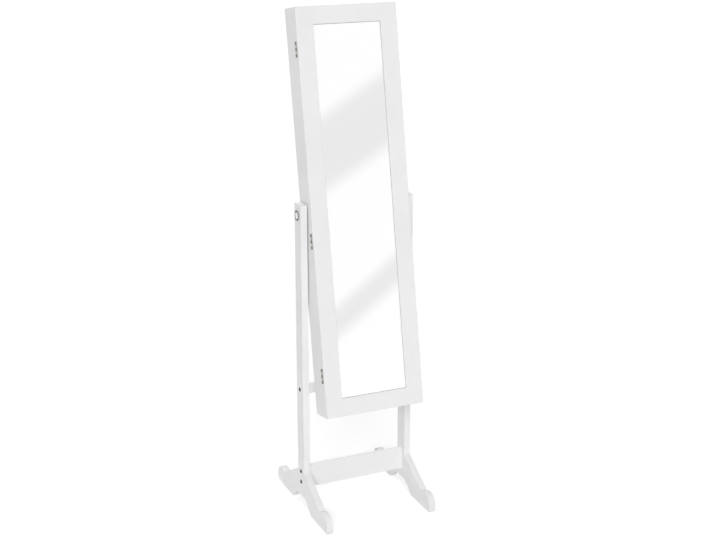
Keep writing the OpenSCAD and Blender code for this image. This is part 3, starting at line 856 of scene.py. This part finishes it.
for make, look, node in ((makeSideLinings, lined, "lining_sides"), (makeShelves, lined, "shelves"),
                         (makeLips, painted, "shelf_lips"), (makeTray, lined, "ring_tray"),
                         (makeBars, lined, "earring_bars"), (makeHookRail, lined, "hook_rail"),
                         (makeHooks, plated, "necklace_hooks"),
                         (makeBraceletRod, lined, "bracelet_rod"),
                         (makeCups, plated, "rod_sockets")):
    place(make(), "cabinet", look, node)
print("fittings made")


# Ring rolls: foam under velvet, swollen by cloth pressure and pressed flat where they meet

roll = {"count": 7, "radius": 11.2, "limit": 11.95, "length": 261, "pitch": 24.2, "first": 432.9,
        "y": 59.4, "ease": 3.0, "swell": 0.9, "pressure": 4.0, "frames": 20, "voxel": 3.2,
        "fill": 0.85, "seam": 0.06, "seamIn": 6, "seamWidth": 1.6}


def swellRoll(piece):
    applyModifier(piece, "REMESH", mode="VOXEL", voxel_size=roll["voxel"] * mm)
    start = [vertex.co.copy() for vertex in piece.data.vertices]
    cloth = piece.modifiers.new("padding", "CLOTH")
    cloth.settings.use_pressure = True
    cloth.settings.uniform_pressure_force = roll["pressure"]
    cloth.settings.effector_weights.gravity = 0
    for step in range(1, roll["frames"] + 1):
        bpy.context.scene.frame_set(step)
    bpy.ops.object.modifier_apply(modifier=cloth.name)
    bpy.context.scene.frame_set(1)
    for vertex, old in zip(piece.data.vertices, start):
        shift = vertex.co - old
        if shift.length > roll["swell"] * mm:
            vertex.co = old + shift.normalized() * roll["swell"] * mm


def makeRoll():
    half, middleY, middleZ = roll["length"] / 2, roll["y"], roll["first"]
    piece = makePin("ringRoll1", roll["radius"], -half, half, 32, middleZ, middleY)
    easeEdges(piece, roll["ease"], 4)
    swellRoll(piece)
    bpy.ops.object.shade_smooth()
    applyModifier(piece, "SUBSURF", levels=1, render_levels=1)
    for vertex in piece.data.vertices:
        # neighbours press the sides flat, and the stitched ends draw in a little
        x, y, z = vertex.co.x / mm, vertex.co.y / mm - middleY, vertex.co.z / mm - middleZ
        squeeze = min(1.0, roll["limit"] / max(abs(z), 0.001))
        fromSeam = (half - roll["seamIn"] - abs(x)) / roll["seamWidth"]
        drawn = 1 - roll["seam"] * math.exp(-fromSeam ** 2)
        vertex.co.z = (middleZ + z * squeeze * drawn) * mm
        vertex.co.y = (middleY + y * drawn) * mm
    return piece


firstRoll = makeRoll()
rolls = [firstRoll]
for count in range(1, roll["count"]):
    step = moved(0, 0, -roll["pitch"] * count)
    rolls.append(copyPiece(firstRoll, "ringRoll" + str(count + 1), step))
for piece in rolls:
    place(lean(piece), "cabinet", rolled, "ring_rolls", curves=False)
print("ring rolls made")


# Hinges

def cutCross(head, middle, reach, halves):
    # a cross slot for a screwdriver, from reach[0] to reach[1] along the screw
    for x, z in (halves, halves[::-1]):
        combine(head, makeBlock("cross", (middle - x, reach[0], -z), (middle + x, reach[1], z)))


def makeLeaf(first, low, high):
    half, pitch = hinge["height"] / 2, hinge["height"] / hinge["knuckles"]
    plate = makeBlock("leaf", (pinX + hinge["notch"], low, -half), (leafEdge, high, half))
    roundEdges(plate, hinge["corner"],
               lambda a, b: bothNear(a.x, b.x, leafEdge) and near(a.z, b.z), 5)
    parts = [easeEdges(plate, hinge["plateEase"], 2, 40)]
    for count in range(first, hinge["knuckles"], 2):
        start = -half + count * pitch + hinge["knuckleGap"]
        end = start + pitch - 2 * hinge["knuckleGap"]
        finger = makeBlock("finger", (pinX, low, start), (pinX + hinge["finger"], high, end))
        parts.append(easeEdges(finger, hinge["fingerEase"], 2))
        barrel = makeRod("knuckle", hinge["barrel"], (pinX, pinY, start), (pinX, pinY, end), 32)
        parts.append(easeEdges(barrel, hinge["barrelEase"], 3))
    return joined("leaf", *parts)


screw = {"head": 2.4, "rim": 0.3, "steps": [(0.9, 0.7), (0.3, 0.2)], "ease": 0.12,
         "slot": (1.5, 0.28), "cross": (-1, 0.7), "shank": 1.2, "shankFrom": 0.6,
         "length": 9, "middleTurn": 25, "turnStep": 37}


def makeLeafScrew():
    # countersunk, head at y = 0 facing -Y
    start, end = (0, screw["shankFrom"], 0), (0, screw["length"], 0)
    shank = makeRod("screw", screw["shank"], start, end, 16)
    head = makeRod("head", screw["head"], (0, 0, 0), (0, screw["rim"], 0), 32)
    stepFace(head, yAxis, screw["steps"])
    easeEdges(head, screw["ease"], 2, 30)
    cutCross(head, 0, screw["cross"], screw["slot"])
    return joined("screw", head, shank)


def atHinges(source, name):
    return lean(joinedCopies(source, name, [moved(0, 0, middle) for middle in hinge["middles"]]))


def leafScrews(name, onDoor):
    x, y = pinX + hinge["screwIn"], pinY - hinge["gap"] if onDoor else pinY + hinge["gap"]
    flip = Matrix.Rotation(math.pi, 4, "Z") if onDoor else Matrix.Identity(4)
    spots = []
    for step in (-1, 0, 1):
        turn = math.radians(screw["middleTurn"] + screw["turnStep"] * step)
        spots.append(moved(x, y, step * hinge["screwStep"]) @ flip @ Matrix.Rotation(turn, 4, "Y"))
    return atHinges(joinedCopies(makeLeafScrew(), "screws", spots), name)


boxFace, doorFace = pinY + hinge["gap"], pinY - hinge["gap"]
boxLeaves = atHinges(makeLeaf(0, boxFace, boxFace + hinge["leaf"]), "boxHingeLeaves")
doorLeaves = atHinges(makeLeaf(1, doorFace - hinge["leaf"], doorFace), "doorHingeLeaves")
# the door's leaves are given a paler bronze than the box's leaves
place(boxLeaves, "cabinet", bronzed, "box_hinge_leaves")
place(doorLeaves, "door", paleBronzed, "door_hinge_leaves")
place(leafScrews("boxHingeScrews", False), "cabinet", bronzed, "box_hinge_screws")
place(leafScrews("doorHingeScrews", True), "door", bronzed, "door_hinge_screws")
coat(nodes["hinge_pins"], darkBrass)
print("hinges made")


# The door

# the rim and its shift per side widen the dark border round the silvering, which is partly painted
# shade of the lip
door = {"thick": 12, "stile": 50, "railTop": 50, "railLow": 52, "lip": 5, "lap": 8, "play": 0.5,
        "glass": 3, "silverDepth": 0.2, "rim": 0.1,
        "shadeRimShift": {"top": 0.7, "bottom": 0.3, "left": 0.3}, "ease": 1.6, "glassEase": 1.8,
        "backingEase": 0.3, "mirrorArea": 0.1}
openHalf = halfWidth - door["stile"]
openTop, openLow = halfHeight - door["railTop"], door["railLow"] - halfHeight


def onFace(a, b):
    # along the front or the back of the door
    return near(a.y, b.y) and near(a.y * (door["thick"] - a.y), 0)


def splitLip(piece, direction):
    # the full-thickness part is cut behind the lip, whose edge is then drawn out over the glass
    cutAt(piece, (0, door["lip"], 0), yAxis)
    drawOut(piece, lambda centre, normal: normal.dot(direction) > 0.99 and centre.y < door["lip"],
            direction * door["lap"])


def makeStile(name):
    stile = makeBlock(name, (openHalf + door["lap"], 0, -halfHeight),
                      (halfWidth, door["thick"], halfHeight))
    splitLip(stile, -xAxis)
    cleanMesh(stile)
    for height in (openTop, openLow):
        cutAt(stile, (0, 0, height), zAxis)
    # outside edges, then the edge round the glass; the joints with the rails stay tight
    roundEdges(stile, door["ease"], lambda a, b: bothNear(a.x, b.x, halfWidth)
               or near(abs(a.z), halfHeight) and near(a.z, b.z) and onFace(a, b))
    return roundEdges(stile, door["glassEase"], lambda a, b: bothNear(a.x, b.x, openHalf)
                      and bothNear(a.y, b.y, 0) and openLow < (a.z + b.z) / 2 < openTop)


def makeRail(name, width):
    # built as the top rail, with its back drawn out behind the stiles' lips
    low = halfHeight - width
    rail = makeBoard(name, openHalf, (0, door["thick"]), (low + door["lap"], halfHeight))
    splitLip(rail, -zAxis)
    for side in (-1, 1):
        drawOut(rail, lambda centre, normal: normal.x * side > 0.99 and centre.y > door["lip"],
                (side * door["lap"], 0, 0))
    cleanMesh(rail)
    roundEdges(rail, door["ease"], lambda a, b: bothNear(a.z, b.z, halfHeight) and onFace(a, b))
    return roundEdges(rail, door["glassEase"], lambda a, b: bothNear(a.z, b.z, low)
                      and bothNear(a.y, b.y, 0))


def makePane(name, front, rear):
    reach = door["lap"] - door["play"]
    heights = (openLow - reach, openTop + reach)
    return makeBoard(name, openHalf + reach, (front, rear), heights)


def makeMirror():
    # the silvering stops short of the lip; the hair of dark edge left all round is partly bare
    # glass edge and partly painted shade and painted dark reflection of the lip, widened at the
    # top, bottom and left
    pane = makePane("mirrorGlass", door["lip"], door["lip"] + door["glass"])
    shifts, inset = door["shadeRimShift"], door["lap"] - door["play"] + door["rim"]
    drawOut(pane, facing(-yAxis), (0, door["silverDepth"], 0), inset)
    for axis, edge, shift in ((0, -openHalf + door["rim"], shifts["left"]),
                              (2, openLow + door["rim"], shifts["bottom"]),
                              (2, openTop - door["rim"], -shifts["top"])):
        openEdit(pane, "EDGE")
        selectEdges(pane, lambda a, b: bothNear(a[axis], b[axis], edge))
        bpy.ops.transform.translate(value=(zAxis if axis else xAxis) * shift * mm)
        closeEdit()
    return lean(pane)


stileRight = makeStile("stileRight")
stileLeft = mirrored(stileRight, "stileLeft")
cutMortises(stileLeft, hinge["doorCut"])
railTop = makeRail("railTop", door["railTop"])
railBottom = makeRail("railBottom", door["railLow"])
railBottom.matrix_world = Matrix.Diagonal((1, 1, -1, 1))
turnOutwards(applyPlace(railBottom))
for piece, node in ((stileRight, "stile_right"), (stileLeft, "stile_left"), (railTop, "rail_top"),
                    (railBottom, "rail_bottom")):
    place(lean(piece), "door", painted, node)
mirror = makeMirror()
place(mirror, "door", ("mirror", silverMirror), "mirror_glass", curves=False)
# the small faces round the silvering take the dark edge material, partly painted shade of the lip
shadeFaces(mirror, glassEdgeAndShade, lambda face: face.area <= door["mirrorArea"])
backing = makePane("mirrorBacking", door["lip"] + door["glass"], door["thick"])
place(lean(easeEdges(backing, door["backingEase"], 2)), "door", ("grey_board", hardboard),
      "mirror_backing")
print("door made")


# Clips and catch

clip = {"length": 18, "height": 12, "thick": 1.2, "corner": 3, "ease": 0.2, "perSide": 3,
        "shift": 24, "screw": 6.3, "head": 3, "rim": 0.6,
        "steps": [(0.5, 0.35), (0.8, 0.2), (0.6, 0.05)], "headEase": 0.1, "cross": (0.4, 3),
        "slot": (1.6, 0.3), "shank": 1.5, "shankEnd": -5}


def clipPlaces():
    side, top, low = openHalf + door["lap"], openTop + door["lap"], openLow - door["lap"]
    step = (top - low) / clip["perSide"]
    heights = [low + (count + 0.5) * step + clip["shift"] for count in range(clip["perSide"])]
    spots = [(-side, height, 180) for height in heights] + [(side, height, 0) for height in heights]
    return spots + [(0, top, 90), (0, low, 270)]


def makeClip():
    length, half, thick = clip["length"], clip["height"] / 2, clip["thick"]
    plate = makeBlock("clip", (-length / 3, 0, -half), (length * 2 / 3, thick, half))
    roundEdges(plate, clip["corner"], lambda a, b: abs(a.y - b.y) > 0.5, 6)
    return easeEdges(plate, clip["ease"], 2, 40)


def makeClipScrew():
    x, top = clip["screw"], clip["thick"]
    head = makeRod("clipScrew", clip["head"], (x, top, 0), (x, top + clip["rim"], 0), 32)
    stepFace(head, yAxis, clip["steps"])
    easeEdges(head, clip["headEase"], 2, 30)
    cutCross(head, x, [top + depth for depth in clip["cross"]], clip["slot"])
    shank = makeRod("shank", clip["shank"], (x, clip["shankEnd"], 0), (x, top + overlap, 0), 16)
    return joined("clipScrew", head, shank)


def atClips(source, name):
    return lean(joinedCopies(source, name, [
        moved(x, door["thick"], z) @ Matrix.Rotation(math.radians(-turn), 4, "Y")
        for x, z, turn in clipPlaces()]))


place(atClips(makeClip(), "backingClips"), "door", plated, "backing_clips")
place(atClips(makeClipScrew(), "clipScrews"), "door", plated, "clip_screws")

catch = {"inside": 124.5, "outside": 136.5, "front": 13.3, "depth": 11, "half": 22, "rim": 2.2,
         "recess": 0.8, "ease": 0.5, "plate": 14, "plateThick": 1.2, "plateEase": 0.3}


def makeMagnet():
    magnet = makeBlock("catchMagnet", (catch["inside"], catch["front"], -catch["half"]),
                       (catch["outside"], catch["front"] + catch["depth"], catch["half"]))
    drawOut(magnet, facing(-yAxis), (0, catch["recess"], 0), catch["rim"])
    return lean(easeEdges(magnet, catch["ease"]))


def makeCatchPlate():
    plate = makeBlock("catchPlate", (clearHalf - catch["plate"], door["thick"], -catch["half"]),
                      (clearHalf, door["thick"] + catch["plateThick"], catch["half"]))
    return lean(easeEdges(plate, catch["plateEase"], 2))


place(makeMagnet(), "cabinet", ("white_plastic", palePlastic), "catch_magnet")
place(makeCatchPlate(), "door", plated, "catch_plate")
print("clips and catch made")


# Floor, reflected cards, world, lamps and camera. Places here are in metres.

studio = {"ambient": 0.38, "floor": 0.86, "floorSize": 40, "floorDrop": 0.0002, "floorLift": 0.36,
          "card": 0.827}
lamps = {"key": {"strength": 0.53, "from": (-0.35, -0.81, 0.46), "spread": 36},
         "back": {"strength": 0.27, "from": (-0.05, 0.6, 0.77), "spread": 44}}
cards = {
    "upper": ([(0.6882, -2.3384, 1.0720), (1.2043, -2.0960, 1.3625), (0.7034, -2.2952, 1.5123),
               (1.2224, -2.0508, 1.8115)], 0.25),
    "lower": ([(0.6669, -2.4052, 0.3823), (1.1834, -2.1556, 0.7562), (0.6723, -2.3838, 0.6112),
               (1.1910, -2.1327, 0.9923)], 0.43)}
camera = {"place": (-1.4417, -3.2699, 1.8417), "down": 17.531, "right": 23.953, "lens": 65.885,
          "sensor": 36, "farthest": 60}


def grey(level):
    return (level, level, level)


def seenInPicture(tree):
    # the camera's view, and what the mirror and bright metal show of it
    path = addNode(tree, "LightPath").outputs
    return addMath(tree, "MAXIMUM", path["Is Camera Ray"],
                   addMath(tree, "MAXIMUM", path["Is Glossy Ray"], path["Is Transmission Ray"]))


def mixShaders(tree, factor, first, second, output):
    mix = addNode(tree, "MixShader", None,
                  {"Fac": factor, 1: first.outputs[0], 2: second.outputs[0]})
    tree.links.new(mix.outputs[0], output.inputs["Surface"])


def makeFloor():
    floor = addShape("floor", bpy.ops.mesh.primitive_plane_add, size=studio["floorSize"],
                     location=(0, 0, -studio["floorDrop"]))
    material, tree = newMaterial("studio paper")
    lift = addShare(tree, seenInPicture(tree), studio["floorLift"])
    feedAll(tree, tree.nodes["Principled BSDF"], {
        "Base Color": grey(studio["floor"]), "Roughness": 0.9, "Specular IOR Level": 0.0,
        "Emission Color": grey(1), "Emission Strength": lift})
    floor.data.materials.append(material)


def makeCard(name, corners, soft):
    # a grey panel off to the front right that only the mirror sees, with soft edges
    panel = addShape(name + "Card", bpy.ops.mesh.primitive_plane_add, size=1)
    for vertex, corner in zip(panel.data.vertices, corners):
        vertex.co = corner
    material, tree = newMaterial(name + " card")
    tree.nodes.remove(tree.nodes["Principled BSDF"])
    shine = addNode(tree, "Emission", None, {"Color": grey(studio["card"]), "Strength": 1.0})
    clear = addNode(tree, "BsdfTransparent")
    where = addNode(tree, "TexCoord")
    parts = addNode(tree, "SeparateXYZ", None, {"Vector": where.outputs["UV"]})
    middle = addMath(tree, "ABSOLUTE", addMath(tree, "SUBTRACT", parts.outputs["Y"], 0.5))
    solid = addRange(tree, middle, 0.5 - soft, 0.5, 1.0, 0.0)
    mixShaders(tree, solid, clear, shine, tree.nodes["Material Output"])
    panel.data.materials.append(material)
    panel.visible_camera = panel.visible_diffuse = False
    panel.visible_transmission = panel.visible_shadow = False


def makeWorld():
    world = bpy.data.worlds.new("studio")
    bpy.context.scene.world = world
    world.use_nodes = True
    tree = world.node_tree
    tree.nodes.clear()
    lit = addNode(tree, "Background", None, {"Color": grey(1), "Strength": studio["ambient"]})
    shown = addNode(tree, "Background", None, {"Color": grey(1), "Strength": 1.0})
    mixShaders(tree, seenInPicture(tree), lit, shown, addNode(tree, "OutputWorld"))


def addHolder(name, data):
    holder = bpy.data.objects.new(name, data)
    bpy.context.scene.collection.objects.link(holder)
    return holder


def makeLamp(name, lamp):
    light = bpy.data.lights.new(name, "SUN")
    light.energy = lamp["strength"] * math.pi
    light.angle = math.radians(lamp["spread"])
    holder = addHolder(name, light)
    holder.rotation_euler = Vector(lamp["from"]).to_track_quat("Z", "Y").to_euler()
    holder.visible_glossy = False


def makeCamera():
    lens = bpy.data.cameras.new("photo camera")
    lens.lens, lens.sensor_width = camera["lens"], camera["sensor"]
    lens.clip_end = camera["farthest"]
    holder = addHolder("photo camera", lens)
    holder.location = camera["place"]
    holder.rotation_euler = (math.radians(90 - camera["down"]), 0, math.radians(-camera["right"]))
    bpy.context.scene.camera = holder


makeFloor()
for name, card in cards.items():
    makeCard(name, *card)
makeWorld()
for name, lamp in lamps.items():
    makeLamp(name, lamp)
makeCamera()
bpy.context.scene.view_settings.view_transform = "Standard"
print("studio made")
